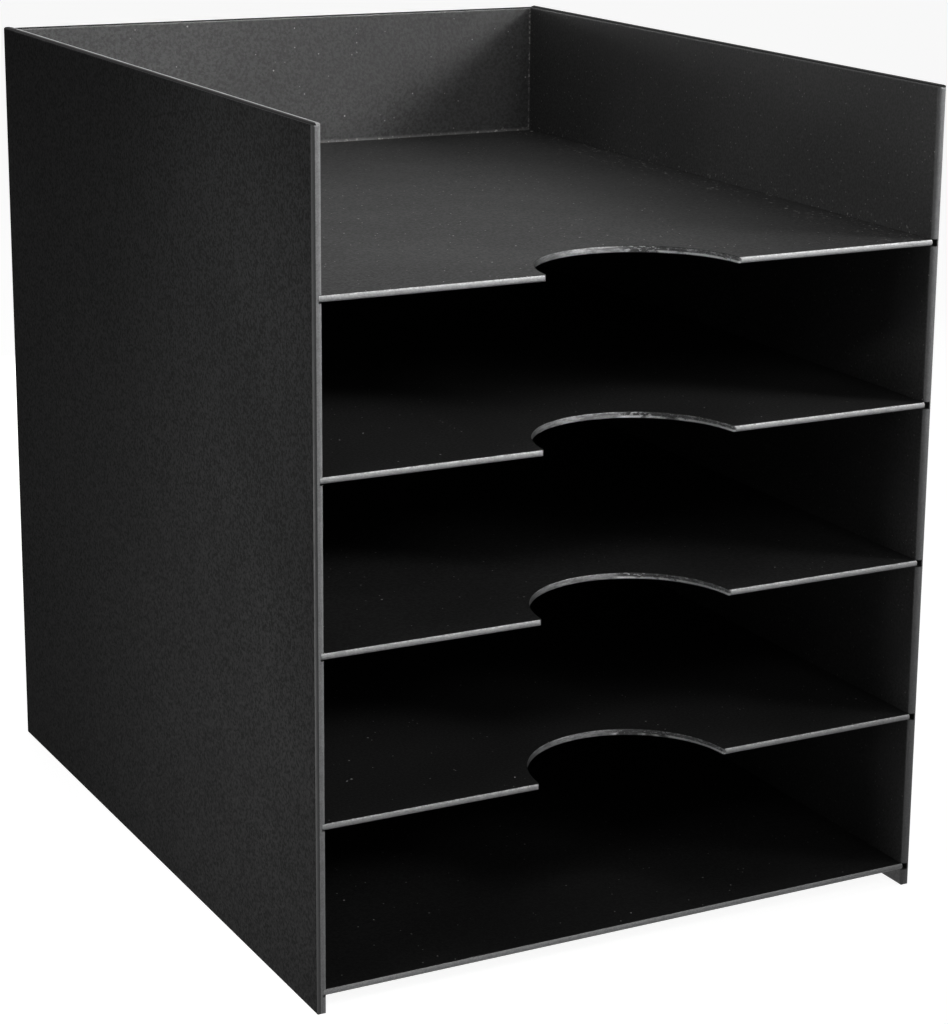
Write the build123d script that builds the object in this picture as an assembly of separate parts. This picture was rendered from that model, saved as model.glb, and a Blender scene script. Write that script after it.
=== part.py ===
from build123d import *
import os

# A letter tray stack: two grooved side panels, a back panel and a bottom board, with four
# shelves that slide in from the front.  Every board is a grey core between two thin black
# cover sheets.  Millimetres; X to the right, Y to the rear, Z up.  The origin is the centre
# of the footprint, on the surface that the side panels stand on.

# Driving dimensions
TOTAL_WIDTH = 260.0
TOTAL_DEPTH = 325.0
TOTAL_HEIGHT = 322.0
SIDE_THICKNESS = 3.8
BACK_THICKNESS = 3.0
SHELF_THICKNESS = 2.5
COVER_THICKNESS = 0.15

# Levels of the boards that lie flat: the bottom board's top face, and the step between trays
BOTTOM_BOARD_TOP = 9.5
TRAY_PITCH = 63.5
SHELF_NAMES = ["lower_shelf", "middle_shelf", "upper_shelf", "top_shelf"]

# Grooves sawn in the inner faces of the side panels, and how far the boards reach into them
LEFT_GROOVE_DEPTH = 1.5
RIGHT_GROOVE_DEPTH = 2.4
LEFT_SHELF_ENTRY = 1.4
RIGHT_SHELF_ENTRY = 0.3
PLAY_ABOVE_SHELF = 0.1
PLAY_BELOW_SHELF = 0.3
SHELF_FRONT_RECESS = 0.2
SHELF_REAR_GAP = 0.5

# Rounding of the boards' sawn edges
SIDE_FRONT_EDGE_RADIUS = 1.7
SIDE_TOP_EDGE_RADIUS = 1.2
SIDE_REAR_EDGE_RADIUS = 0.8
SIDE_BOTTOM_EDGE_RADIUS = 0.8
SIDE_TOP_CORNER_RADIUS = 2.0
SIDE_BOTTOM_CORNER_RADIUS = 1.2
BACK_TOP_EDGE_RADIUS = 1.0
SHELF_EDGE_RADIUS = 1.1
BACK_TOP_BELOW_SIDES = 0.6

# Finger cut-out in the front edge of each shelf
CUTOUT_RADIUS = 40.0
CUTOUT_CORNER_RADIUS = 1.5

# How far a cutting box runs on past the face it cuts through
OVERCUT = 1.0

# Worked out from the above
FRONT_Y = -TOTAL_DEPTH / 2
REAR_Y = TOTAL_DEPTH / 2
BACK_FRONT_Y = REAR_Y - BACK_THICKNESS
LEFT_INNER_X = -TOTAL_WIDTH / 2 + SIDE_THICKNESS
RIGHT_INNER_X = TOTAL_WIDTH / 2 - SIDE_THICKNESS
SHELF_TOPS = [BOTTOM_BOARD_TOP + TRAY_PITCH * step for step in range(1, len(SHELF_NAMES) + 1)]


def span_box(x_span, y_span, z_span):
    """A box given by its low and high limits along each axis."""
    spans = (x_span, y_span, z_span)
    sizes = [high - low for low, high in spans]
    centre = [(low + high) / 2 for low, high in spans]
    return Pos(*centre) * Box(*sizes)


def rounded_rectangle(first_size, second_size, radii):
    """A centred rectangle with one radius per corner, anticlockwise from the low corner."""
    corners = ((-1, -1, 180), (1, -1, 270), (1, 1, 0), (-1, 1, 90))
    edges = []
    ends = []
    for (first_sign, second_sign, start_angle), radius in zip(corners, radii):
        centre = (first_sign * (first_size / 2 - radius), second_sign * (second_size / 2 - radius))
        if radius > 0:
            arc = CenterArc(centre, radius, start_angle, 90)
            edges.append(arc)
            ends.append((arc @ 0, arc @ 1))
        else:
            ends.append((Vector(*centre), Vector(*centre)))
    for index, (_, leave) in enumerate(ends):
        edges.append(Line(leave, ends[(index + 1) % len(ends)][0]))
    return make_face(edges)


def solids_of(shape):
    """All the solids of a shape as one compound, or the solid itself where there is one."""
    solids = shape.solids()
    return solids[0] if len(solids) == 1 else Compound(solids)


def split_laminate(board, axis_index, low_face, high_face):
    """Cut a board into its core and its two cover sheets, across the given axis."""
    far = 2 * max(TOTAL_WIDTH, TOTAL_DEPTH, TOTAL_HEIGHT)
    cuts = {
        "low_cover": (low_face - OVERCUT, low_face + COVER_THICKNESS),
        "core": (low_face + COVER_THICKNESS, high_face - COVER_THICKNESS),
        "high_cover": (high_face - COVER_THICKNESS, high_face + OVERCUT),
    }
    layers = {}
    for layer_name, span in cuts.items():
        spans = [(-far, far)] * 3
        spans[axis_index] = span
        layers[layer_name] = solids_of(board & span_box(*spans))
    return layers


def side_panel(outer_x, inner_x, groove_depth):
    """A side panel with rounded edges, a groove for each board and a rear rebate."""
    middle_x = (outer_x + inner_x) / 2
    inward = 1 if inner_x > outer_x else -1
    plan_radii = (SIDE_FRONT_EDGE_RADIUS,) * 2 + (SIDE_REAR_EDGE_RADIUS,) * 2
    elevation_radii = (SIDE_BOTTOM_EDGE_RADIUS,) * 2 + (SIDE_TOP_EDGE_RADIUS,) * 2
    outline_radii = (SIDE_BOTTOM_CORNER_RADIUS,) * 2 + (SIDE_TOP_CORNER_RADIUS,) * 2
    plan = rounded_rectangle(SIDE_THICKNESS, TOTAL_DEPTH, plan_radii)
    elevation = rounded_rectangle(SIDE_THICKNESS, TOTAL_HEIGHT, elevation_radii)
    outline = rounded_rectangle(TOTAL_DEPTH, TOTAL_HEIGHT, outline_radii)
    board = extrude(plan, amount=TOTAL_HEIGHT / 2, both=True)
    board &= extrude(Plane.XZ * elevation, amount=TOTAL_DEPTH / 2, both=True)
    board &= extrude(Plane.YZ * outline, amount=SIDE_THICKNESS / 2, both=True)
    board = Pos(middle_x, 0, TOTAL_HEIGHT / 2) * board

    groove_x = sorted((inner_x - inward * groove_depth, inner_x + inward * OVERCUT))
    past_front = FRONT_Y - OVERCUT
    bottom_groove_z = (BOTTOM_BOARD_TOP - SHELF_THICKNESS, BOTTOM_BOARD_TOP)
    board -= span_box(groove_x, (past_front, REAR_Y), bottom_groove_z)
    for top in SHELF_TOPS:
        groove_z = (top - SHELF_THICKNESS - PLAY_BELOW_SHELF, top + PLAY_ABOVE_SHELF)
        board -= span_box(groove_x, (past_front, REAR_Y), groove_z)
    rebate_y = (BACK_FRONT_Y, REAR_Y + OVERCUT)
    board -= span_box(groove_x, rebate_y, (-OVERCUT, TOTAL_HEIGHT + OVERCUT))
    return board


def flat_board(left_x, right_x, front_y, rear_y, top_z, has_cutout):
    """A board that lies flat, with rounded front and rear edges and perhaps a finger cut-out."""
    width = right_x - left_x
    depth = rear_y - front_y
    middle = ((left_x + right_x) / 2, (front_y + rear_y) / 2, top_z - SHELF_THICKNESS / 2)
    section = rounded_rectangle(depth, SHELF_THICKNESS, (SHELF_EDGE_RADIUS,) * 4)
    board = Pos(*middle) * extrude(Plane.YZ * section, amount=width / 2, both=True)
    if has_cutout:
        plan = Pos(middle[0], middle[1]) * Rectangle(width, depth)
        plan -= Pos(0, front_y) * Circle(CUTOUT_RADIUS)
        tips = [Vector(side * CUTOUT_RADIUS, front_y, 0) for side in (-1, 1)]
        for tip in tips:
            plan = fillet(plan.vertices().sort_by_distance(tip)[0], CUTOUT_CORNER_RADIUS)
        board &= Pos(0, 0, top_z - SHELF_THICKNESS) * extrude(plan, amount=SHELF_THICKNESS)
    return board


def back_panel():
    """The back panel, held in the side panels' rear rebates."""
    left_x = LEFT_INNER_X - LEFT_GROOVE_DEPTH
    right_x = RIGHT_INNER_X + RIGHT_GROOVE_DEPTH
    low_z = BOTTOM_BOARD_TOP - SHELF_THICKNESS
    high_z = TOTAL_HEIGHT - BACK_TOP_BELOW_SIDES
    top_radii = (0, 0, BACK_TOP_EDGE_RADIUS, BACK_TOP_EDGE_RADIUS)
    section = rounded_rectangle(BACK_THICKNESS, high_z - low_z, top_radii)
    board = extrude(Plane.YZ * section, amount=(right_x - left_x) / 2, both=True)
    return Pos((left_x + right_x) / 2, (BACK_FRONT_Y + REAR_Y) / 2, (low_z + high_z) / 2) * board


def make_nodes():
    """Every node of the stack: a core and two cover sheets for each board."""
    nodes = {}

    left = side_panel(-TOTAL_WIDTH / 2, LEFT_INNER_X, LEFT_GROOVE_DEPTH)
    layers = split_laminate(left, 0, -TOTAL_WIDTH / 2, LEFT_INNER_X)
    nodes["left_panel_outer_cover"] = layers["low_cover"]
    nodes["left_panel_core"] = layers["core"]
    nodes["left_panel_inner_cover"] = layers["high_cover"]

    right = side_panel(TOTAL_WIDTH / 2, RIGHT_INNER_X, RIGHT_GROOVE_DEPTH)
    layers = split_laminate(right, 0, RIGHT_INNER_X, TOTAL_WIDTH / 2)
    nodes["right_panel_inner_cover"] = layers["low_cover"]
    nodes["right_panel_core"] = layers["core"]
    nodes["right_panel_outer_cover"] = layers["high_cover"]

    layers = split_laminate(back_panel(), 1, BACK_FRONT_Y, REAR_Y)
    nodes["back_panel_front_cover"] = layers["low_cover"]
    nodes["back_panel_core"] = layers["core"]
    nodes["back_panel_rear_cover"] = layers["high_cover"]

    front_y = FRONT_Y + SHELF_FRONT_RECESS
    bottom = flat_board(
        LEFT_INNER_X - LEFT_GROOVE_DEPTH,
        RIGHT_INNER_X + RIGHT_SHELF_ENTRY,
        front_y,
        BACK_FRONT_Y,
        BOTTOM_BOARD_TOP,
        has_cutout=False,
    )
    layers = split_laminate(bottom, 2, BOTTOM_BOARD_TOP - SHELF_THICKNESS, BOTTOM_BOARD_TOP)
    nodes["bottom_board_under_cover"] = layers["low_cover"]
    nodes["bottom_board_core"] = layers["core"]
    nodes["bottom_board_top_cover"] = layers["high_cover"]

    for name, top in zip(SHELF_NAMES, SHELF_TOPS):
        shelf = flat_board(
            LEFT_INNER_X - LEFT_SHELF_ENTRY,
            RIGHT_INNER_X + RIGHT_SHELF_ENTRY,
            front_y,
            BACK_FRONT_Y - SHELF_REAR_GAP,
            top,
            has_cutout=True,
        )
        layers = split_laminate(shelf, 2, top - SHELF_THICKNESS, top)
        nodes[name + "_under_cover"] = layers["low_cover"]
        nodes[name + "_core"] = layers["core"]
        nodes[name + "_top_cover"] = layers["high_cover"]
    return nodes


os.makedirs("parts", exist_ok=True)
for node_name, node_shape in make_nodes().items():
    export_step(node_shape, "parts/" + node_name + ".step")
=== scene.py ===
"""A letter tray stack made of black-faced boards: two grooved side panels, a back panel, a
bottom board and four shelves with finger cut-outs.  Each board is remade more finely than in
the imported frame, then sliced into its grey core and its two black cover sheets.  Metres."""
import logging
import math
from dataclasses import dataclass, field
from enum import Enum
from typing import Callable, Optional, Sequence

import bpy
from mathutils import Matrix, Vector


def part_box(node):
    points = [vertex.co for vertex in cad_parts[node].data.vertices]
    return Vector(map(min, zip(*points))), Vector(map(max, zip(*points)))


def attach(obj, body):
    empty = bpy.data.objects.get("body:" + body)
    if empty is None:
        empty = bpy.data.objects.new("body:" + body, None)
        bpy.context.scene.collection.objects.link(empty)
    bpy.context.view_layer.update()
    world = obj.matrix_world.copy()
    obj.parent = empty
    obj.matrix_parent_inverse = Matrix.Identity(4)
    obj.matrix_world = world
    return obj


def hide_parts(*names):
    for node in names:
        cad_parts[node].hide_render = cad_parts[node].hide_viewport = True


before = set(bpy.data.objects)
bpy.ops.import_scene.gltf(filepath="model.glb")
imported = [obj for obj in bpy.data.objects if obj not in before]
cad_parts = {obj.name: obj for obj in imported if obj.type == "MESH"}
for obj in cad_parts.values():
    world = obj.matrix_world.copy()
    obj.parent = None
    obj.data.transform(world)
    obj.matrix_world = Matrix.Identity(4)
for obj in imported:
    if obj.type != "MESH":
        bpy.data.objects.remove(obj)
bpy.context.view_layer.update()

LOG = logging.getLogger("letter_tray_stack")

Point = tuple[float, float, float]
Colour = tuple[float, float, float, float]
Socket = bpy.types.NodeSocket

MM = 0.001

# How the boards are modelled
COVER_THICKNESS = 0.15 * MM
OVERCUT = 2 * MM
TINY = 0.02 * MM
MERGE_DISTANCE = 0.001 * MM
CUT_TOLERANCE = 0.0001 * MM
ROUND_STEPS = 8
ARC_STEPS = 120
SMOOTH_ANGLE = math.radians(28)
FLAT_FACE_WEIGHT = 100


class Axis(Enum):
    """The three directions of the frame."""

    X = 0
    Y = 1
    Z = 2


class Layer(Enum):
    """The three layers of a board, from its low face to its high face."""

    LOW_COVER = "low"
    CORE = "core"
    HIGH_COVER = "high"


class Finish(Enum):
    """The finishes of the stack, by the names of their materials."""

    OUTER_COVER = "outer_cover_sheet"
    INNER_COVER = "inner_cover_sheet"
    BACK_COVER = "back_cover_sheet"
    SHELF_COVER = "shelf_cover_sheet"
    TOP_COVER = "top_shelf_cover_sheet"
    LEFT_CORE = "left_panel_core_fibre"
    RIGHT_CORE = "right_panel_core_fibre"
    BACK_CORE = "back_panel_core_fibre"
    SHELF_CORE = "shelf_core_fibre"
    BOTTOM_CORE = "bottom_board_core_fibre"
    WORN_CAP = "left_panel_edge_film"
    PLAIN_CAP = "panel_edge_film"


def by_layer(low: object, core: object, high: object) -> dict[Layer, object]:
    """One entry for each layer of a board, from its low face to its high face."""
    return dict(zip(Layer, (low, core, high)))


def low_of(node: str, axis: Axis) -> float:
    """Where a node of the frame starts along an axis."""
    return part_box(node)[0][axis.value]


def high_of(node: str, axis: Axis) -> float:
    """Where a node of the frame ends along an axis."""
    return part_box(node)[1][axis.value]


# ------------ modelling by operators


def deselect_everything() -> None:
    """Leave edit mode and select nothing."""
    if bpy.context.object and bpy.context.object.mode != "OBJECT":
        bpy.ops.object.mode_set(mode="OBJECT")
    bpy.ops.object.select_all(action="DESELECT")


def pick(piece: bpy.types.Object) -> None:
    """Select one object alone and make it active."""
    deselect_everything()
    piece.select_set(True)
    bpy.context.view_layer.objects.active = piece


def block(name: str, low: Sequence[float], high: Sequence[float]) -> bpy.types.Object:
    """A cube primitive stretched between two corners, with its place kept in its mesh."""
    deselect_everything()
    centre = [(a + b) / 2 for a, b in zip(low, high)]
    size = [b - a for a, b in zip(low, high)]
    bpy.ops.mesh.primitive_cube_add(size=1.0, location=centre, scale=size)
    piece = bpy.context.object
    piece.name = name
    bpy.ops.object.transform_apply(location=True, rotation=True, scale=True)
    return piece


def bevel_edges(
    piece: bpy.types.Object, wanted: Callable[[Vector, Vector], bool], radius: float
) -> None:
    """Round the edges that a test picks by the places of their two ends."""
    pick(piece)
    mesh = piece.data
    bpy.context.tool_settings.mesh_select_mode = (False, True, False)
    for part in (mesh.vertices, mesh.edges, mesh.polygons):
        part.foreach_set("select", [False] * len(part))
    for edge in mesh.edges:
        first, second = (mesh.vertices[index].co for index in edge.vertices)
        edge.select = wanted(first, second)
    bpy.ops.object.mode_set(mode="EDIT")
    bpy.ops.mesh.bevel(offset=radius, offset_type="OFFSET", segments=ROUND_STEPS, affect="EDGES")
    bpy.ops.object.mode_set(mode="OBJECT")


def rounded_bar(
    name: str,
    low: Sequence[float],
    high: Sequence[float],
    axis: Axis,
    radii: dict[tuple[int, int], float],
) -> bpy.types.Object:
    """A block whose four edges along one axis are rounded, each by its own radius.

    Args:
        name: The object's name.
        low: The lowest corner.
        high: The highest corner.
        axis: The direction of the four edges.
        radii: For each edge, given by the low or high side on the other two axes, its radius.

    Returns:
        The new object.
    """
    bar = block(name, low, high)
    others = [i for i in range(3) if i != axis.value]
    corners = (low, high)
    for sides, radius in radii.items():
        place = [corners[side][i] for side, i in zip(sides, others)]

        def along(first: Vector, second: Vector, place: list[float] = place) -> bool:
            """Whether both ends of an edge lie on the line through a corner."""
            return all(
                abs(end[i] - at) < TINY for end in (first, second) for i, at in zip(others, place)
            )

        bevel_edges(bar, along, radius)
    return bar


def combine(piece: bpy.types.Object, tool: bpy.types.Object, operation: str) -> None:
    """Cut a piece with a tool object, or limit it to the tool, and delete the tool."""
    pick(piece)
    modifier = piece.modifiers.new("shape", "BOOLEAN")
    modifier.operation = operation
    modifier.object = tool
    modifier.solver = "EXACT"
    bpy.ops.object.modifier_apply(modifier=modifier.name)
    bpy.data.objects.remove(tool, do_unlink=True)


def slice_out(
    board: bpy.types.Object, name: str, axis: Axis, low: Optional[float], high: Optional[float]
) -> bpy.types.Object:
    """Copy a board and keep only the layer between two planes, with its cut faces closed.

    Args:
        board: The whole board.
        name: The name of the layer's object.
        axis: The direction across the board.
        low: The plane under the layer, if it is cut there.
        high: The plane over the layer, if it is cut there.

    Returns:
        The layer, as an object with its own mesh.
    """
    pick(board)
    bpy.ops.object.duplicate(linked=False)
    layer = bpy.context.object
    layer.name = name
    bpy.ops.object.mode_set(mode="EDIT")
    normal = [0.0, 0.0, 0.0]
    normal[axis.value] = 1.0
    for plane, drop_low in ((low, True), (high, False)):
        if plane is None:
            continue
        bpy.ops.mesh.select_all(action="SELECT")
        bpy.ops.mesh.bisect(
            plane_co=[plane * part for part in normal],
            plane_no=normal,
            use_fill=True,
            clear_inner=drop_low,
            clear_outer=not drop_low,
            threshold=CUT_TOLERANCE,
        )
    bpy.ops.mesh.select_all(action="SELECT")
    bpy.ops.mesh.remove_doubles(threshold=MERGE_DISTANCE)
    bpy.ops.mesh.normals_make_consistent(inside=False)
    bpy.ops.object.mode_set(mode="OBJECT")
    return layer


def smooth_roundings(piece: bpy.types.Object) -> None:
    """Shade the roundings smooth while the flat faces stay flat."""
    pick(piece)
    bpy.ops.object.shade_smooth_by_angle(angle=SMOOTH_ANGLE)
    modifier = piece.modifiers.new("flat_faces", "WEIGHTED_NORMAL")
    modifier.mode = "FACE_AREA"
    modifier.weight = FLAT_FACE_WEIGHT
    modifier.keep_sharp = True
    bpy.ops.object.modifier_apply(modifier=modifier.name)


# ------------ finishes


def grey(level: float, warmth: float = 0.0) -> Colour:
    """A grey as a colour, a little warmer or cooler where asked."""
    return (level * (1 + warmth), level, level * (1 - warmth), 1.0)


class NodeSheet:
    """A node tree, with short ways to add and join its nodes."""

    def __init__(self, tree: bpy.types.NodeTree) -> None:
        """Take over a node tree and empty it."""
        self.tree = tree
        self.tree.nodes.clear()

    def feed(self, node: bpy.types.Node, inputs: dict) -> None:
        """Give inputs of a node, named or numbered, their source sockets or plain values."""
        for key, value in inputs.items():
            if isinstance(value, Socket):
                self.tree.links.new(value, node.inputs[key])
            else:
                node.inputs[key].default_value = value

    def add(self, kind: str, inputs: Optional[dict] = None, **settings: object) -> bpy.types.Node:
        """Add a node of a kind, feed its inputs and set its own properties."""
        node = self.tree.nodes.new(kind)
        for key, value in settings.items():
            setattr(node, key, value)
        self.feed(node, inputs or {})
        return node

    def sums(self, operation: str, first: object, second: object = 0.0) -> Socket:
        """The result of one arithmetic step on sockets or numbers."""
        return self.add("ShaderNodeMath", {0: first, 1: second}, operation=operation).outputs[0]

    def product(self, first: object, *others: object) -> Socket:
        """The result of multiplying two or more sockets or numbers."""
        for other in others:
            first = self.sums("MULTIPLY", first, other)
        return first

    def ramp(
        self, value: object, start: float, end: float, low: float = 0.0, high: float = 1.0
    ) -> Socket:
        """A smooth step from low to high as a value goes from start to end, whichever is larger."""
        names = ("Value", "From Min", "From Max", "To Min", "To Max")
        inputs = dict(zip(names, (value, start, end, low, high)))
        node = self.add("ShaderNodeMapRange", inputs, interpolation_type="SMOOTHSTEP")
        return node.outputs["Result"]

    def blend(self, amount: object, first: object, second: object) -> Socket:
        """A colour between two colours."""
        inputs = {0: amount, 6: first, 7: second}
        return self.add("ShaderNodeMix", inputs, data_type="RGBA").outputs[2]

    def seen_directly(self) -> Socket:
        """1 for a camera, glossy or transmission ray, and 0 for the rays that light things."""
        rays = self.add("ShaderNodeLightPath").outputs
        seen = self.sums("MAXIMUM", rays["Is Camera Ray"], rays["Is Glossy Ray"])
        return self.sums("MAXIMUM", seen, rays["Is Transmission Ray"])


class MaterialSheet(NodeSheet):
    """A material's node tree, with its principled shader and its object coordinates."""

    def __init__(self, name: str) -> None:
        """Start a material that holds a principled shader and its output."""
        self.material = bpy.data.materials.new(name)
        self.material.use_nodes = True
        super().__init__(self.material.node_tree)
        self.shader = self.add("ShaderNodeBsdfPrincipled")
        self.add("ShaderNodeOutputMaterial", {"Surface": self.shader.outputs["BSDF"]})
        self.place = self.add("ShaderNodeTexCoord").outputs["Object"]
        self.parts = self.add("ShaderNodeSeparateXYZ", {"Vector": self.place}).outputs

    def along(self, axis: Axis) -> Socket:
        """The object coordinate along one axis."""
        return self.parts[axis.value]

    def past(self, axis: Axis, start: float) -> Socket:
        """How far along one axis a point lies past a place."""
        return self.sums("SUBTRACT", self.along(axis), start)

    def height_in_step(self, low_z: float, step: float) -> Socket:
        """The height above the next lower of some evenly stepped levels."""
        return self.sums("FLOORED_MODULO", self.past(Axis.Z, low_z), step)

    def stretched(self, scale: Point) -> Socket:
        """The object coordinates, stretched by a factor on each axis."""
        node = self.add("ShaderNodeMapping", {"Vector": self.place, "Scale": scale})
        return node.outputs["Vector"]

    def noise(
        self,
        per_metre: float,
        detail: float = 2.0,
        vector: Optional[Socket] = None,
        roughness: float = 0.5,
    ) -> Socket:
        """Noise between 0 and 1, on the object's own coordinates unless others are given."""
        inputs = {"Vector": vector or self.place, "Scale": per_metre, "Detail": detail}
        inputs["Roughness"] = roughness
        return self.add("ShaderNodeTexNoise", inputs).outputs["Fac"]

    def cells(self, per_metre: float) -> bpy.types.Node:
        """A pattern of cells, so many to the metre."""
        return self.add("ShaderNodeTexVoronoi", {"Vector": self.place, "Scale": per_metre})

    def toned(self, tone: Socket, level: float, lightest: float, warmth: float = 0.0) -> Socket:
        """A grey of a level, scaled by a tone that it follows up to the lightest one."""
        share = self.product(tone, 1.0 / lightest)
        return self.blend(share, grey(0.0), grey(lightest * level, warmth))

    def bump(self, height: Socket, distance: float) -> Socket:
        """A bumped normal for a height between 0 and 1, its distance in metres."""
        inputs = {"Height": height, "Distance": distance, "Strength": 1.0}
        return self.add("ShaderNodeBump", inputs).outputs["Normal"]

    def finished(
        self, colour: object, roughness: object, specular: float, normal: Optional[Socket] = None
    ) -> bpy.types.Material:
        """Feed the shader, with a bumped normal if there is one, and hand over the material."""
        inputs = {"Base Color": colour, "Roughness": roughness, "Specular IOR Level": specular}
        if normal is not None:
            inputs["Normal"] = normal
        self.feed(self.shader, inputs)
        return self.material


# The cover sheets' patterns, in noise cycles or cells per metre
UNEVENNESS_PER_METRE = 14.0
SCRATCHES_PER_METRE = 280.0
SCRATCH_STRETCH = (1.0, 0.35, 1.6)
DUST_PATCHES_PER_METRE = 70.0
GRAIN_BLUR = 0.08
LARGE_SPECKS = (170.0, 0.085)
SMALL_SPECKS = (420.0, 0.15)
DUST_COLOUR = grey(0.40, 0.02)
LIGHTEST_COVER_TONE = 4.0

# The cores' patterns
FIBRES_PER_METRE = 1500.0
MOTTLE_PER_METRE = 240.0
FIBRE_DEPTH = 0.03 * MM
LIGHTEST_CORE_TONE = 2.0
CORE_WARMTH = -0.01
# Painted shade on the outer part of the left panel's front edge
EDGE_PAINTED_SHADE_TONE = 0.11
# Painted shade inside the side panels' grooves
GROOVE_PAINTED_SHADE = 0.12
EDGE_BLUR = 0.15 * MM

# The sawn wall of a cut-out.  Each step is a start, an end and the tones before and after it,
# the start and end being angles in radians round the cut-out from its left tip.
WALL_BLUR = 0.6 * MM
WALL_TONE_STEPS = (
    (0.70, 1.10, 0.07, 0.36),
    (1.10, 1.45, 1.0, 2.2),
    (1.82, 1.98, 1.0, 0.27),
    (2.40, 2.60, 1.0, 2.4),
)
CHIPPED_STEP = (1.85, 1.95, 0.0, 1.0)
FEWER_CHIPS_STEP = (2.15, 2.25, 1.0, 0.45)
TORN_STEP = (2.40, 2.50, 0.0, 1.0)
FRAYED_RIM = (1.1 * MM, 0.8 * MM)
FRAYED_TONE = 3.0
TEARS_PER_METRE = 110.0

# The front edge of a shelf, by height above its underside: painted shade on its lower half and a
# painted highlight line along its top
EDGE_PAINTED_SHADE = (0.3 * MM, 1.7 * MM, 0.62, 0.88)
EDGE_PAINTED_HIGHLIGHT = (1.85 * MM, 2.05 * MM)
HIGHLIGHT_BREAKS_PER_METRE = 900.0


@dataclass(frozen=True)
class DustLine:
    """A line along which sawdust gathers, where two boards meet.

    Args:
        axis: The direction in which the distance from the line is measured.
        at: Where the line lies on that axis.
        reach: How far from the line the dust spreads.
        haze: How much fine dust there is between the grains.
        threshold: How sparse the grains are, from 0.4 for dense to 0.7 for few.
        grains_per_metre: How fine the grains are.
    """

    axis: Axis
    at: float
    reach: float
    haze: float = 0.0
    threshold: float = 0.60
    grains_per_metre: float = 700.0

    def dust(self, sheet: MaterialSheet, patches: Socket) -> Socket:
        """The dust along the line, thinned where the patches are dark."""
        close = sheet.ramp(sheet.sums("ABSOLUTE", sheet.past(self.axis, self.at)), self.reach, 0.0)
        noise = sheet.noise(self.grains_per_metre)
        grains = sheet.ramp(noise, self.threshold, self.threshold + GRAIN_BLUR)
        dust = sheet.sums("ADD", sheet.product(grains, patches), self.haze)
        return sheet.product(close, dust)


@dataclass(frozen=True)
class CoverFinish:
    """The thin black cover sheet: a fine pebbled emboss, slightly uneven, with light dust.

    Args:
        finish: Which finish this is.
        level: How light the film is.
        roughness: Its roughness, before the unevenness.
        specular: How strongly it reflects.
        contrast: How much the emboss shows as lighter and darker spots.
        pebble_per_metre: How fine the emboss is.
        pebble_depth: How deep the emboss is.
        speck_share: The share of cells that hold a speck of dust.
        scuffs: How much the fine scratches lighten the film.
        dust_lines: Where sawdust gathers.
    """

    finish: Finish
    level: float
    roughness: float
    specular: float
    contrast: float = 0.35
    pebble_per_metre: float = 1000.0
    pebble_depth: float = 0.06 * MM
    speck_share: float = 0.30
    scuffs: float = 0.0
    dust_lines: tuple[DustLine, ...] = ()

    def specks(self, sheet: MaterialSheet, per_metre: float, size: float) -> Socket:
        """Small light dots of a size in cells, scattered one to a cell in a share of them."""
        dots = sheet.cells(per_metre)
        near = sheet.ramp(dots.outputs["Distance"], size, size * 0.4)
        lucky = sheet.add("ShaderNodeSeparateColor", {"Color": dots.outputs["Color"]})
        kept = sheet.ramp(lucky.outputs[0], self.speck_share, self.speck_share * 0.5)
        return sheet.product(near, kept)

    def all_dust(self, sheet: MaterialSheet) -> Socket:
        """The specks everywhere and the sawdust along the dust lines."""
        large, small = (self.specks(sheet, *kind) for kind in (LARGE_SPECKS, SMALL_SPECKS))
        light = sheet.sums("MAXIMUM", large, small)
        if self.dust_lines:
            patches = sheet.ramp(sheet.noise(DUST_PATCHES_PER_METRE), 0.36, 0.56, 0.25, 1.0)
            for line in self.dust_lines:
                light = sheet.sums("MAXIMUM", light, line.dust(sheet, patches))
        return light

    def make(self) -> bpy.types.Material:
        """Build the cover sheet's material."""
        sheet = MaterialSheet(self.finish.value)
        pebble = sheet.noise(self.pebble_per_metre, roughness=0.6)
        broad = sheet.noise(UNEVENNESS_PER_METRE, detail=3.0)
        tone = sheet.product(
            sheet.ramp(pebble, 0.34, 0.66, 1.0 - self.contrast, 1.0 + self.contrast),
            sheet.ramp(broad, 0.2, 0.8, 0.86, 1.14),
        )
        if self.scuffs:
            streaks = sheet.noise(SCRATCHES_PER_METRE, 4.0, sheet.stretched(SCRATCH_STRETCH), 0.75)
            tone = sheet.sums("ADD", tone, sheet.ramp(streaks, 0.60, 0.74, 0.0, self.scuffs))
        black = sheet.toned(tone, self.level, LIGHTEST_COVER_TONE)
        uneven = sheet.ramp(pebble, 0.3, 0.7, self.roughness + 0.05, self.roughness - 0.05)
        return sheet.finished(
            colour=sheet.blend(self.all_dust(sheet), black, DUST_COLOUR),
            roughness=sheet.sums("ADD", uneven, sheet.ramp(broad, 0.3, 0.7, -0.04, 0.04)),
            specular=self.specular,
            normal=sheet.bump(pebble, self.pebble_depth),
        )


@dataclass(frozen=True)
class GrooveShade:
    """The painted shade inside a side panel's evenly stepped grooves.

    Args:
        low_z: The lower edge of the lowest groove.
        height: The grooves' height.
        step: The step from one groove to the next.
        floor_x: How far from the middle of the stack the grooves' floors lie.
    """

    low_z: float
    height: float
    step: float
    floor_x: float

    def tone(self, sheet: MaterialSheet) -> Socket:
        """A painted shade on the faces of the grooves, and 1 everywhere else."""
        up = sheet.height_in_step(self.low_z, self.step)
        level_with = sheet.sums("LESS_THAN", up, self.height)
        sideways = sheet.sums("ABSOLUTE", sheet.along(Axis.X))
        inside = sheet.sums("LESS_THAN", sideways, self.floor_x)
        return sheet.ramp(sheet.product(level_with, inside), 0.0, 1.0, 1.0, GROOVE_PAINTED_SHADE)


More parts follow.
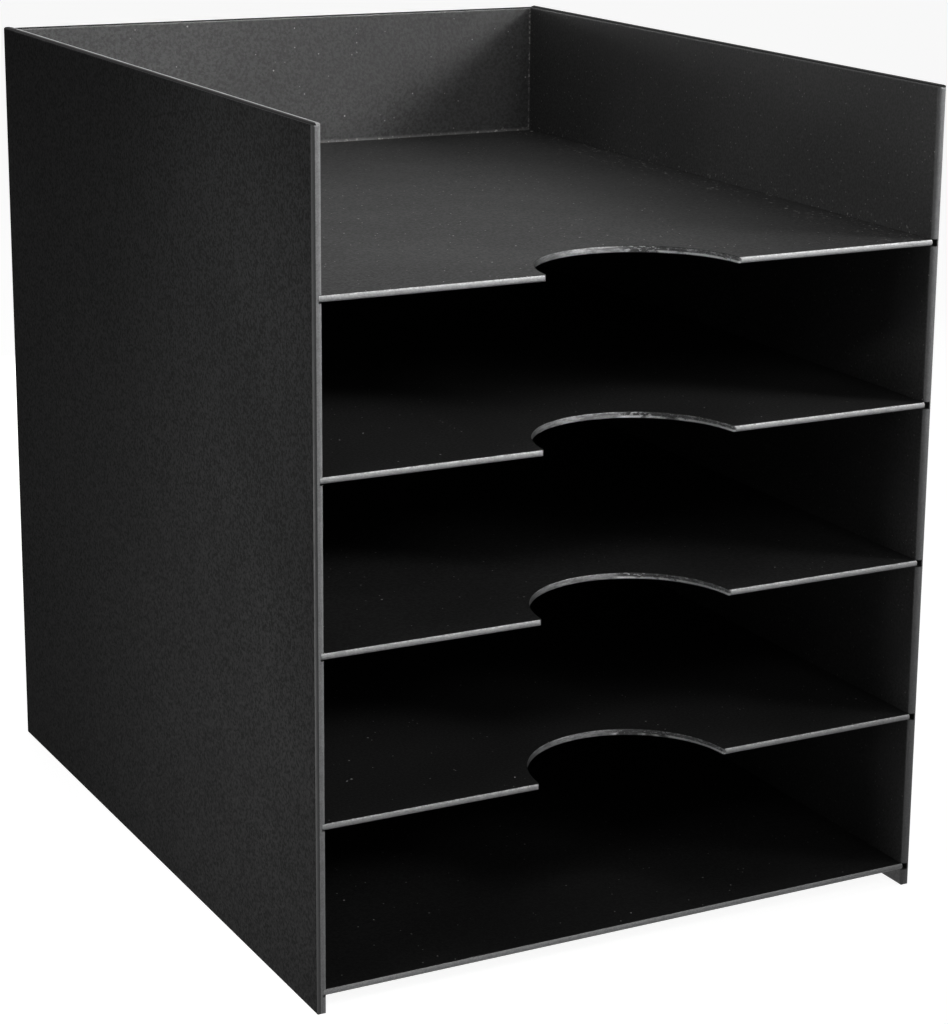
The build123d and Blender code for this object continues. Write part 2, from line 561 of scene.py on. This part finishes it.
@dataclass(frozen=True)
class ShelfShade:
    """The painted shade and highlight on the shelves' front edges, and the tones of the sawn walls
    of their cut-outs.

    Args:
        centre_x: The centre of the cut-outs in X.
        centre_y: The centre of the cut-outs in Y.
        reach: How far from that centre a sawn wall lies at most.
        low_z: The underside of the lowest flat board.
        step: The step from one flat board to the next.
    """

    centre_x: float
    centre_y: float
    reach: float
    low_z: float
    step: float

    def edge_shade_and_highlight(self, sheet: MaterialSheet) -> Socket:
        """Painted shade on the lower half and a broken painted highlight line along the top of a
        board's edge.
        """
        up = sheet.height_in_step(self.low_z, self.step)
        # A painted highlight line along the top of the edge, over a painted shade below.
        broken = sheet.ramp(sheet.noise(HIGHLIGHT_BREAKS_PER_METRE), 0.42, 0.58, 0.05, 0.50)
        line = sheet.product(sheet.ramp(up, *EDGE_PAINTED_HIGHLIGHT), broken)
        return sheet.sums("ADD", sheet.ramp(up, *EDGE_PAINTED_SHADE), line)

    def frayed(self, sheet: MaterialSheet, turned: Socket, chips: Socket) -> Socket:
        """The torn lower rim of the wall's right part."""
        low = sheet.ramp(sheet.height_in_step(self.low_z, self.step), *FRAYED_RIM)
        torn = sheet.ramp(sheet.noise(TEARS_PER_METRE), 0.48, 0.58)
        torn = sheet.sums("MAXIMUM", torn, sheet.ramp(turned, *TORN_STEP))
        right_part = sheet.ramp(turned, *CHIPPED_STEP)
        return sheet.product(low, right_part, torn, sheet.ramp(chips, 0.32, 0.42), FRAYED_TONE)

    def wall_tone(self, sheet: MaterialSheet) -> Socket:
        """The uneven, streaked tone of the cut-out's wall, and 1 everywhere else."""
        off_x = sheet.past(Axis.X, self.centre_x)
        off_y = sheet.past(Axis.Y, self.centre_y)
        square = sheet.sums("ADD", sheet.product(off_x, off_x), sheet.product(off_y, off_y))
        wall = sheet.ramp(sheet.sums("SQRT", square), self.reach, self.reach - WALL_BLUR)
        turned = sheet.sums("ARCTAN2", off_y, sheet.product(off_x, -1.0))
        # Lighter and darker bands of tone round the wall, by angle from its left tip.
        banded_by_angle = sheet.product(*(sheet.ramp(turned, *step) for step in WALL_TONE_STEPS))
        streaks = sheet.noise(200.0, 3.0, sheet.stretched((1.0, 1.0, 7.0)), 0.65)
        streaked = sheet.product(banded_by_angle, sheet.ramp(streaks, 0.36, 0.62, 0.55, 1.25))
        chips = sheet.noise(520.0, 3.0, sheet.stretched((1.0, 1.0, 2.5)), 0.6)
        flecks = sheet.product(
            sheet.ramp(chips, 0.54, 0.62, 0.0, 1.5),
            sheet.ramp(turned, *CHIPPED_STEP),
            sheet.ramp(turned, *FEWER_CHIPS_STEP),
        )
        tone = sheet.sums("ADD", streaked, flecks)
        tone = sheet.sums("ADD", tone, self.frayed(sheet, turned, chips))
        change = sheet.product(sheet.sums("SUBTRACT", tone, 1.0), wall)
        return sheet.sums("ADD", change, 1.0)


@dataclass(frozen=True)
class CoreFinish:
    """The grey core of pressed fibre, as it shows at sawn and rounded edges.

    Args:
        finish: Which finish this is.
        level: How light the core is.
        roughness: Its mean roughness.
        specular: How strongly it reflects.
        fleck: How much the fibres show.
        shaded_below_x: The place in X below which the front edge's outer rounding carries painted
            shade, if it does.
        grooves: The painted shade of the panel's grooves, if it has any.
        shelves: The painted shade and highlight of the shelves' edges and the tones of their
            cut-outs, if this is the shelves' core.
    """

    finish: Finish
    level: float
    roughness: float = 0.58
    specular: float = 0.35
    fleck: float = 0.16
    shaded_below_x: Optional[float] = None
    grooves: Optional[GrooveShade] = None
    shelves: Optional[ShelfShade] = None

    def make(self) -> bpy.types.Material:
        """Build the core's material."""
        sheet = MaterialSheet(self.finish.value)
        fibres = sheet.noise(FIBRES_PER_METRE, 3.0, roughness=0.6)
        mottle = sheet.noise(MOTTLE_PER_METRE, 3.0)
        tones = [
            sheet.ramp(fibres, 0.3, 0.7, 1.0 - self.fleck, 1.0 + self.fleck),
            sheet.ramp(mottle, 0.25, 0.75, 0.90, 1.10),
        ]
        # Painted shade: the outer part of the front edge's rounding, turned away from the lamps, is
        # darkened.
        if self.shaded_below_x is not None:
            start = self.shaded_below_x
            outer_edge_shade = sheet.ramp(sheet.along(Axis.X), start, start + EDGE_BLUR, EDGE_PAINTED_SHADE_TONE, 1.0)
            tones.append(outer_edge_shade)
        if self.grooves is not None:
            tones.append(self.grooves.tone(sheet))
        if self.shelves is not None:
            tones += [self.shelves.wall_tone(sheet), self.shelves.edge_shade_and_highlight(sheet)]
        tone = sheet.product(*tones)
        return sheet.finished(
            colour=sheet.toned(tone, self.level, LIGHTEST_CORE_TONE, CORE_WARMTH),
            roughness=sheet.ramp(mottle, 0.2, 0.8, self.roughness - 0.08, self.roughness + 0.08),
            specular=self.specular,
            normal=sheet.bump(sheet.sums("ADD", fibres, mottle), FIBRE_DEPTH),
        )


@dataclass(frozen=True)
class EdgeFilmFinish:
    """The black film that caps a panel's top edge, with a painted highlight line along one rim
    where asked.

    Args:
        finish: Which finish this is.
        level: How light the film is.
        roughness: Its roughness.
        specular: How strongly it reflects.
        grain_per_metre: How fine its grain is.
        grain_depth: How deep its grain is.
        highlight_from_x: The place in X from which the rim carries a painted highlight, if it does.
        highlight_level: How light the painted highlight is.
    """

    finish: Finish
    level: float = 0.008
    roughness: float = 0.55
    specular: float = 0.04
    grain_per_metre: float = 900.0
    grain_depth: float = 0.02 * MM
    highlight_from_x: Optional[float] = None
    highlight_level: float = 0.30

    def make(self) -> bpy.types.Material:
        """Build the edge film's material."""
        sheet = MaterialSheet(self.finish.value)
        grain = sheet.noise(self.grain_per_metre)
        colour = grey(self.level)
        # Painted highlight: a light line along the inner rim of the top edge, where the rounding
        # catches the lamps.
        if self.highlight_from_x is not None:
            start = self.highlight_from_x
            rim_highlight = sheet.ramp(sheet.along(Axis.X), start, start + EDGE_BLUR)
            patchy = sheet.product(rim_highlight, sheet.ramp(grain, 0.25, 0.60, 0.6, 1.0))
            colour = sheet.blend(patchy, colour, grey(self.highlight_level))
        normal = sheet.bump(grain, self.grain_depth)
        return sheet.finished(colour, self.roughness, self.specular, normal)


# ------------ boards


# The least upward part that the normal of a face on a core's capped top edge has
CAP_FACES_UP = 0.5


def low_and_high(low: float, high: float) -> dict[tuple[int, int], float]:
    """The radii of a bar's four edges, alike on the two low ones and on the two high ones."""
    return {(0, 0): low, (1, 0): low, (0, 1): high, (1, 1): high}


@dataclass
class LaminatedBoard:
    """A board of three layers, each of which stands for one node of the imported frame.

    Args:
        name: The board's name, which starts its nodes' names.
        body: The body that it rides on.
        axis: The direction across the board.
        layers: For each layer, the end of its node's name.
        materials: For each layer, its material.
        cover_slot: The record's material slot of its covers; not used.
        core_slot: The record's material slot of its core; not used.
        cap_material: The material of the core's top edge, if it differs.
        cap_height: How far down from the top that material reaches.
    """

    name: str
    body: str
    axis: Axis
    layers: dict[Layer, str]
    materials: dict[Layer, bpy.types.Material]
    cover_slot: str
    core_slot: str
    cap_material: Optional[bpy.types.Material] = None
    cap_height: float = 1.6 * MM
    low: Vector = field(init=False)
    high: Vector = field(init=False)

    def __post_init__(self) -> None:
        """Read the board's place and size off its nodes in the frame."""
        corners = [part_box(f"{self.name}_{part}") for part in self.layers.values()]
        self.low = Vector([min(corner[0][i] for corner in corners) for i in range(3)])
        self.high = Vector([max(corner[1][i] for corner in corners) for i in range(3)])

    def whole(self) -> bpy.types.Object:
        """The board in one piece, before it is sliced into layers."""
        raise NotImplementedError

    def dress(self, piece: bpy.types.Object, layer: Layer) -> None:
        """Give a layer its material, and the upward faces of a core's top edge theirs."""
        piece.data.materials.clear()
        piece.data.materials.append(self.materials[layer])
        if layer is Layer.CORE and self.cap_material is not None:
            piece.data.materials.append(self.cap_material)
            for face in piece.data.polygons:
                is_high = face.center.z > self.high.z - self.cap_height
                if is_high and face.normal.z > CAP_FACES_UP:
                    face.material_index = 1

    def build(self) -> list[bpy.types.Object]:
        """Model the board, slice it, dress its three layers and hand them over."""
        board = self.whole()
        low_cut = self.low[self.axis.value] + COVER_THICKNESS
        high_cut = self.high[self.axis.value] - COVER_THICKNESS
        cuts = by_layer((None, low_cut), (low_cut, high_cut), (high_cut, None))
        pieces = []
        for layer, part in self.layers.items():
            node = f"{self.name}_{part}"
            piece = slice_out(board, node + "_dressed", self.axis, *cuts[layer])
            smooth_roundings(piece)
            self.dress(piece, layer)
            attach(piece, self.body)
            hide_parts(node)
            LOG.info("%s: %d faces", piece.name, len(piece.data.polygons))
            pieces.append(piece)
        bpy.data.objects.remove(board, do_unlink=True)
        return pieces


@dataclass
class Groove:
    """A groove across a side panel's inner face, by its low and high edge."""

    low_z: float
    high_z: float


@dataclass
class SidePanel(LaminatedBoard):
    """A side panel with a bull-nosed front edge, grooves and a rebate for the back panel.

    Args:
        inner_side: 1 where the inner face is the high one in X, otherwise 0.
        groove_depth: How deep the grooves and the rebate are.
        grooves: The grooves.
        rebate_y: Where the rebate starts.
        front_edge: The rounding of its front edge, across its thickness.
        top_edge: The rounding of its top edge.
        rear_edge: The rounding of its rear edge.
        bottom_edge: The rounding of its bottom edge.
        top_corner: The rounding of its upper corners, as seen from the side.
        bottom_corner: The rounding of its lower corners.
    """

    inner_side: int = 1
    groove_depth: float = 1.5 * MM
    grooves: tuple[Groove, ...] = ()
    rebate_y: float = 0.0
    front_edge: float = 1.7 * MM
    top_edge: float = 1.2 * MM
    rear_edge: float = 0.8 * MM
    bottom_edge: float = 0.8 * MM
    top_corner: float = 2.0 * MM
    bottom_corner: float = 1.2 * MM

    def extended(self, axis: Axis) -> tuple[Vector, Vector]:
        """The board's corners, moved out past its ends along one axis."""
        low, high = self.low.copy(), self.high.copy()
        low[axis.value] -= OVERCUT
        high[axis.value] += OVERCUT
        return low, high

    def whole(self) -> bpy.types.Object:
        """The panel as what three rounded bars have in common, less its grooves."""
        plan = low_and_high(self.front_edge, self.rear_edge)
        elevation = low_and_high(self.bottom_edge, self.top_edge)
        outline = low_and_high(self.bottom_corner, self.top_corner)
        panel = rounded_bar(self.name, *self.extended(Axis.Z), Axis.Z, plan)
        bar = rounded_bar("elevation", *self.extended(Axis.Y), Axis.Y, elevation)
        combine(panel, bar, "INTERSECT")
        bar = rounded_bar("outline", *self.extended(Axis.X), Axis.X, outline)
        combine(panel, bar, "INTERSECT")
        inner_x = (self.low, self.high)[self.inner_side].x
        inward = 1 if self.inner_side else -1
        low_x, high_x = sorted((inner_x - inward * self.groove_depth, inner_x + inward * OVERCUT))
        for groove in self.grooves:
            low = (low_x, self.low.y - OVERCUT, groove.low_z)
            high = (high_x, self.rebate_y + OVERCUT, groove.high_z)
            combine(panel, block("groove", low, high), "DIFFERENCE")
        low = (low_x, self.rebate_y, self.low.z - OVERCUT)
        high = (high_x, self.high.y + OVERCUT, self.high.z + OVERCUT)
        combine(panel, block("rebate", low, high), "DIFFERENCE")
        return panel


@dataclass
class BackPanel(LaminatedBoard):
    """The back panel, with a rounded top edge."""

    top_edge: float = 1.0 * MM

    def whole(self) -> bpy.types.Object:
        """The panel in one piece."""
        radii = {(0, 1): self.top_edge, (1, 1): self.top_edge}
        return rounded_bar(self.name, self.low, self.high, Axis.X, radii)


@dataclass
class FlatBoard(LaminatedBoard):
    """A board that lies flat, with rounded front and rear edges."""

    long_edge: float = 1.1 * MM

    def whole(self) -> bpy.types.Object:
        """The board in one piece."""
        radii = low_and_high(self.long_edge, self.long_edge)
        return rounded_bar(self.name, self.low, self.high, Axis.X, radii)


@dataclass
class Shelf(FlatBoard):
    """A shelf, which has a round finger cut-out in its front edge.

    Args:
        cutout_radius: The radius of the cut-out.
        corner_radius: The rounding of the two corners where it meets the front edge.
        centre_x: Where the cut-out is centred.
    """

    cutout_radius: float = 40.0 * MM
    corner_radius: float = 1.5 * MM
    centre_x: float = 0.0

    def cutter(self) -> bpy.types.Object:
        """The cut-out as a solid, its outline spun and extruded from a single point."""
        reach = self.cutout_radius + self.corner_radius
        front = self.low.y
        tip = math.asin(self.corner_radius / reach)
        corner_x = math.sqrt(reach**2 - self.corner_radius**2)
        start = Vector((self.centre_x + corner_x, front - OVERCUT, self.low.z - OVERCUT))
        deselect_everything()
        bpy.ops.mesh.primitive_plane_add(size=MM, location=start)
        cutter = bpy.context.object
        cutter.name = "cutout"
        bpy.ops.object.transform_apply(location=True, rotation=True, scale=True)
        bpy.ops.object.mode_set(mode="EDIT")
        bpy.context.tool_settings.mesh_select_mode = (True, False, False)
        bpy.ops.mesh.select_all(action="SELECT")
        bpy.ops.mesh.merge(type="CENTER")
        bpy.ops.mesh.extrude_region_move(TRANSFORM_OT_translate={"value": (0, OVERCUT, 0)})
        turns = (
            (corner_x, self.corner_radius, math.pi / 2 - tip, ROUND_STEPS),
            (0.0, 0.0, -(math.pi - 2 * tip), ARC_STEPS),
            (-corner_x, self.corner_radius, math.pi / 2 - tip, ROUND_STEPS),
        )
        for offset_x, offset_y, clockwise, steps in turns:
            centre = (self.centre_x + offset_x, front + offset_y, start.z)
            bpy.ops.mesh.spin(steps=steps, angle=clockwise, center=centre, axis=(0, 0, 1))
        bpy.ops.mesh.extrude_region_move(TRANSFORM_OT_translate={"value": (0, -OVERCUT, 0)})
        bpy.ops.mesh.select_all(action="SELECT")
        bpy.ops.mesh.edge_face_add()
        height = self.high.z - self.low.z + 2 * OVERCUT
        bpy.ops.mesh.extrude_region_move(TRANSFORM_OT_translate={"value": (0, 0, height)})
        bpy.ops.mesh.select_all(action="SELECT")
        bpy.ops.mesh.normals_make_consistent(inside=False)
        bpy.ops.object.mode_set(mode="OBJECT")
        return cutter

    def whole(self) -> bpy.types.Object:
        """The shelf in one piece, less its cut-out."""
        shelf = super().whole()
        combine(shelf, self.cutter(), "DIFFERENCE")
        return shelf


# ------------ stack


# How far the painted shade reaches over the left panel's front edge from its outer face, how wide
# the painted highlight along the inner rim of its top is, and how far past the nominal faces the
# painted shade of the grooves and the tones of the cut-outs reach
EDGE_SHADE_REACH = 1.2 * MM
HIGHLIGHT_RIM = 1.9 * MM
GROOVE_MARGIN = 0.1 * MM
WALL_MARGIN = 1.0 * MM


@dataclass
class TrayStack:
    """The whole stack, from its record's named boards.

    Args:
        shelf_names: The shelves, from the lowest to the highest.
        play_above: A shelf's play above it in its grooves.
        play_below: A shelf's play below it.
        left_groove_depth: How deep the left panel's grooves and rebate are.
        right_groove_depth: How deep the right panel's are.
        materials: The material of each finish.
        pieces: The finished pieces.
    """

    shelf_names: tuple[str, ...] = ("lower_shelf", "middle_shelf", "upper_shelf", "top_shelf")
    play_above: float = 0.1 * MM
    play_below: float = 0.3 * MM
    left_groove_depth: float = 1.5 * MM
    right_groove_depth: float = 2.4 * MM
    materials: dict[Finish, bpy.types.Material] = field(default_factory=dict)
    pieces: list[bpy.types.Object] = field(default_factory=list)

    def grooves(self) -> tuple[Groove, ...]:
        """A groove for the bottom board, without play, and one for each shelf, with play."""
        low = low_of("bottom_board_core", Axis.Z) - COVER_THICKNESS
        high = high_of("bottom_board_core", Axis.Z) + COVER_THICKNESS
        grooves = [Groove(low, high)]
        for name in self.shelf_names:
            low = low_of(name + "_core", Axis.Z) - COVER_THICKNESS - self.play_below
            high = high_of(name + "_core", Axis.Z) + COVER_THICKNESS + self.play_above
            grooves.append(Groove(low, high))
        return tuple(grooves)

    def cover_finishes(self) -> tuple[CoverFinish, ...]:
        """The finishes of the cover sheets, with dust where boards meet above the top shelf."""
        top_level = high_of("top_shelf_top_cover", Axis.Z)
        right_x = low_of("right_panel_inner_cover", Axis.X)
        rear_y = low_of("back_panel_front_cover", Axis.Y)
        # The outer, inner and back cover sheets are one film: their levels and specular differ as
        # painted light and shade, a darker matte copy outside and lighter, glossier copies inside
        # and on the back.
        return (
            CoverFinish(
                Finish.OUTER_COVER,
                level=0.0175,
                roughness=0.60,
                specular=0.003,
                contrast=0.36,
                pebble_per_metre=950.0,
                pebble_depth=0.05 * MM,
                speck_share=0.26,
            ),
            CoverFinish(
                Finish.INNER_COVER,
                level=0.050,
                roughness=0.48,
                specular=0.42,
                scuffs=0.9,
                dust_lines=(DustLine(Axis.Z, top_level, reach=6.0 * MM, threshold=0.64),),
            ),
            CoverFinish(
                Finish.BACK_COVER,
                level=0.026,
                roughness=0.50,
                specular=0.58,
                contrast=0.55,
                pebble_per_metre=850.0,
                pebble_depth=0.07 * MM,
                speck_share=0.12,
                dust_lines=(
                    DustLine(Axis.Z, top_level, reach=1.5 * MM, haze=0.22),
                    DustLine(Axis.X, right_x, reach=1.2 * MM, haze=0.10, threshold=0.50),
                ),
            ),
            CoverFinish(
                Finish.SHELF_COVER, level=0.006, roughness=0.55, specular=0.20, speck_share=0.15
            ),
            CoverFinish(
                Finish.TOP_COVER,
                level=0.009,
                roughness=0.58,
                specular=0.18,
                speck_share=0.25,
                dust_lines=(
                    DustLine(
                        Axis.X, right_x, reach=30.0 * MM, threshold=0.63, grains_per_metre=520.0
                    ),
                    DustLine(Axis.Y, rear_y, reach=1.4 * MM),
                ),
            ),
        )

    def groove_shade(self, depth: float) -> GrooveShade:
        """The painted shade inside the grooves of a panel whose grooves are so deep."""
        bottom, first, second = self.grooves()[:3]
        return GrooveShade(
            low_z=bottom.low_z - self.play_below,
            height=first.high_z - first.low_z,
            step=second.low_z - first.low_z,
            floor_x=low_of("right_panel_inner_cover", Axis.X) + depth + GROOVE_MARGIN,
        )

    def core_finishes(self) -> tuple[CoreFinish, ...]:
        """The finishes of the boards' cores."""
        lowest, second = (low_of(name + "_core", Axis.Z) for name in self.shelf_names[:2])
        shelf_shade = ShelfShade(
            centre_x=Shelf.centre_x,
            centre_y=low_of("top_shelf_core", Axis.Y),
            reach=Shelf.cutout_radius + WALL_MARGIN,
            low_z=low_of("bottom_board_under_cover", Axis.Z),
            step=second - lowest,
        )
        # The left and right panel cores are one board: the left one is lighter and the right one
        # darker as painted light and shade.
        return (
            CoreFinish(
                Finish.LEFT_CORE,
                level=0.18,
                shaded_below_x=low_of("left_panel_outer_cover", Axis.X) + EDGE_SHADE_REACH,
                grooves=self.groove_shade(self.left_groove_depth),
            ),
            CoreFinish(
                Finish.RIGHT_CORE, level=0.11, grooves=self.groove_shade(self.right_groove_depth)
            ),
            CoreFinish(Finish.BACK_CORE, level=0.19),
            CoreFinish(Finish.SHELF_CORE, level=0.36, shelves=shelf_shade),
            CoreFinish(Finish.BOTTOM_CORE, level=0.30),
        )

    def cap_finishes(self) -> tuple[EdgeFilmFinish, ...]:
        """The finishes of the panels' top edges."""
        left_inner_x = high_of("left_panel_inner_cover", Axis.X)
        return (
            # The left panel's top edge carries a painted highlight along its inner rim.
            EdgeFilmFinish(Finish.WORN_CAP, highlight_from_x=left_inner_x - HIGHLIGHT_RIM),
            EdgeFilmFinish(Finish.PLAIN_CAP),
        )

    def pick_materials(self, low: Finish, core: Finish, high: Finish) -> dict[Layer, object]:
        """The materials of a board's three layers, by their finishes."""
        return by_layer(*(self.materials[finish] for finish in (low, core, high)))

    def side_panel(
        self, name: str, inner_side: int, core: Finish, cap: Finish, depth: float
    ) -> SidePanel:
        """One of the two side panels, with the finishes of its core and of its top edge."""
        order = 1 if inner_side else -1
        finishes = (Finish.OUTER_COVER, core, Finish.INNER_COVER)[::order]
        return SidePanel(
            name=name,
            body="carcass",
            axis=Axis.X,
            layers=by_layer(*("outer_cover", "core", "inner_cover")[::order]),
            materials=self.pick_materials(*finishes),
            cover_slot="panel_cover",
            core_slot="panel_core",
            cap_material=self.materials[cap],
            inner_side=inner_side,
            groove_depth=depth,
            grooves=self.grooves(),
            rebate_y=low_of("back_panel_front_cover", Axis.Y),
        )

    def back_panel(self) -> BackPanel:
        """The back panel."""
        return BackPanel(
            name="back_panel",
            body="carcass",
            axis=Axis.Y,
            layers=by_layer("front_cover", "core", "rear_cover"),
            materials=self.pick_materials(
                Finish.BACK_COVER, Finish.BACK_CORE, Finish.OUTER_COVER
            ),
            cover_slot="panel_cover",
            core_slot="panel_core",
            cap_material=self.materials[Finish.PLAIN_CAP],
        )

    def flat_boards(self) -> list[LaminatedBoard]:
        """The bottom board and the shelves, each shelf on a body of its own."""
        shared = {
            "axis": Axis.Z,
            "layers": by_layer("under_cover", "core", "top_cover"),
            "cover_slot": "shelf_cover",
            "core_slot": "shelf_core",
        }
        cover = Finish.SHELF_COVER
        bottom = self.pick_materials(cover, Finish.BOTTOM_CORE, cover)
        boards: list[LaminatedBoard] = [
            FlatBoard(name="bottom_board", body="carcass", materials=bottom, **shared)
        ]
        for name in self.shelf_names:
            top_cover = Finish.TOP_COVER if name == "top_shelf" else cover
            materials = self.pick_materials(cover, Finish.SHELF_CORE, top_cover)
            boards.append(Shelf(name=name, body=name, materials=materials, **shared))
        return boards

    def build(self) -> None:
        """Make every finish and then every board of the stack."""
        for recipe in (*self.cover_finishes(), *self.core_finishes(), *self.cap_finishes()):
            self.materials[recipe.finish] = recipe.make()
        left = (Finish.LEFT_CORE, Finish.WORN_CAP, self.left_groove_depth)
        right = (Finish.RIGHT_CORE, Finish.PLAIN_CAP, self.right_groove_depth)
        boards = (
            self.side_panel("left_panel", 1, *left),
            self.side_panel("right_panel", 0, *right),
            self.back_panel(),
            *self.flat_boards(),
        )
        for board in boards:
            LOG.info("board %s", board.name)
            self.pieces += board.build()


# ------------ studio


@dataclass(frozen=True)
class SoftLamp:
    """A rectangular area lamp, aimed at a point of the object.

    Args:
        name: The lamp's name.
        place: Where it hangs.
        aim: The point that it faces.
        size: Its width and height.
        power: Its power in watts.
        spread: The angle in degrees that its light is held to.
    """

    name: str
    place: Point
    aim: Point
    size: tuple[float, float]
    power: float
    spread: float = 180.0

    def make(self) -> bpy.types.Object:
        """Add the lamp to the scene."""
        deselect_everything()
        bpy.ops.object.light_add(type="AREA", location=self.place)
        lamp = bpy.context.object
        lamp.name = self.name
        lamp.data.shape = "RECTANGLE"
        lamp.data.size, lamp.data.size_y = self.size
        lamp.data.energy = self.power
        lamp.data.spread = math.radians(self.spread)
        lamp.visible_camera = False
        ahead = Vector(self.aim) - Vector(self.place)
        lamp.rotation_euler = ahead.to_track_quat("-Z", "Y").to_euler()
        return lamp


@dataclass(frozen=True)
class CameraPlace:
    """Where the photograph was taken from, as fitted to edges read off it.

    Args:
        place: The lens's place.
        yaw: Its turn to the right, in radians.
        pitch: Its tilt downwards.
        roll: Its tilt sideways.
        focal_pixels: The focal length in pixels.
        frame_pixels: The longer side of the picture.
        sensor: The longer side of the sensor, in millimetres.
        shift_x: The lens shift sideways, as a share of the longer side.
        shift_y: The lens shift upwards.
        nearest: How near to the lens a thing can be and still be seen.
    """

    place: Point = (-0.50295, -1.00318, 0.45073)
    yaw: float = 0.4997
    pitch: float = 0.2484
    roll: float = 0.0129
    focal_pixels: float = 2781.0
    frame_pixels: float = 1024.0
    sensor: float = 36.0
    shift_x: float = -0.0600
    shift_y: float = -0.0800
    nearest: float = 0.01

    def axes(self) -> tuple[Vector, Vector, Vector]:
        """The camera's directions to the right, up and ahead."""
        sin_yaw, cos_yaw = math.sin(self.yaw), math.cos(self.yaw)
        sin_pitch, cos_pitch = math.sin(self.pitch), math.cos(self.pitch)
        sin_roll, cos_roll = math.sin(self.roll), math.cos(self.roll)
        ahead = Vector((sin_yaw * cos_pitch, cos_yaw * cos_pitch, -sin_pitch))
        level = Vector((cos_yaw, -sin_yaw, 0.0))
        above = level.cross(ahead)
        right = level * cos_roll + above * sin_roll
        return right, above * cos_roll - level * sin_roll, ahead

    def make(self) -> bpy.types.Object:
        """Add the camera and make it the scene's own."""
        deselect_everything()
        bpy.ops.object.camera_add()
        camera = bpy.context.object
        camera.name = "studio_camera"
        right, up, ahead = self.axes()
        turn = Matrix((right, up, -ahead)).transposed().to_4x4()
        camera.matrix_world = Matrix.Translation(self.place) @ turn
        camera.data.sensor_fit = "AUTO"
        camera.data.sensor_width = self.sensor
        camera.data.lens = self.focal_pixels * self.sensor / self.frame_pixels
        camera.data.shift_x = self.shift_x
        camera.data.shift_y = self.shift_y
        camera.data.clip_start = self.nearest
        bpy.context.scene.camera = camera
        return camera


@dataclass
class Studio:
    """The pale floor, the soft lamps, the white surroundings and the camera.

    Args:
        floor_size: The floor's side.
        floor_level: How light the floor is to the lamps.
        floor_roughness: The floor's roughness.
        floor_glow: How much it glows where it is seen.
        ambient: How strongly the surroundings light the object.
        lamps: The lamps.
    """

    floor_size: float = 12.0
    floor_level: float = 0.30
    floor_roughness: float = 0.9
    floor_glow: float = 0.93
    ambient: float = 0.03
    lamps: tuple[SoftLamp, ...] = (
        SoftLamp("key_lamp", (0.80, -0.66, 0.85), (0.15, -0.14, 0.44), (0.42, 0.42), 1.20, 28.0),
        SoftLamp("top_lamp", (0.10, 0.05, 1.30), (0.0, 0.05, 0.25), (1.0, 1.0), 4.5),
        SoftLamp("side_lamp", (-0.39, -0.13, 0.09), (-0.13, -0.13, 0.07), (0.12, 0.16), 0.78),
        SoftLamp(
            "upper_lamp", (-0.42, -0.15, 0.42), (-0.13, -0.12, 0.29), (0.10, 0.10), 0.043, 44.0
        ),
        SoftLamp("front_lamp", (0.12, -1.05, 1.00), (0.02, -0.16, 0.42), (0.5, 0.5), 0.42, 40.0),
        SoftLamp("rear_lamp", (0.10, 0.90, 0.22), (0.0, 0.16, 0.16), (0.5, 0.4), 3.5),
    )

    def floor(self) -> bpy.types.Object:
        """A wide pale floor that shows white to the camera but keeps the shadow."""
        deselect_everything()
        bpy.ops.mesh.primitive_plane_add(size=self.floor_size, location=(0.0, 0.0, 0.0))
        floor = bpy.context.object
        floor.name = "studio_floor"
        sheet = MaterialSheet("studio_floor_paint")
        glow = sheet.product(sheet.seen_directly(), self.floor_glow)
        sheet.feed(sheet.shader, {"Emission Color": grey(1.0), "Emission Strength": glow})
        paint = sheet.finished(grey(self.floor_level), self.floor_roughness, specular=0.0)
        floor.data.materials.append(paint)
        return floor

    def surroundings(self) -> None:
        """A dim even glow, which the camera and reflections see as white."""
        world = bpy.data.worlds.new("studio_world")
        bpy.context.scene.world = world
        world.use_nodes = True
        sheet = NodeSheet(world.node_tree)
        inputs = {"Value": sheet.seen_directly(), "To Min": self.ambient, "To Max": 1.0}
        level = sheet.add("ShaderNodeMapRange", inputs)
        glow = sheet.add("ShaderNodeBackground", {"Strength": level.outputs["Result"]})
        sheet.add("ShaderNodeOutputWorld", {"Surface": glow.outputs["Background"]})

    def build(self) -> None:
        """Set up the floor, lamps, surroundings, camera and view."""
        self.floor()
        self.surroundings()
        for lamp in self.lamps:
            lamp.make()
        CameraPlace().make()
        bpy.context.scene.view_settings.view_transform = "Standard"


def main() -> None:
    """Build the stack and the studio."""
    logging.basicConfig(level=logging.INFO, format="%(name)s %(message)s")
    TrayStack().build()
    Studio().build()


if __name__ == "__main__":
    main()
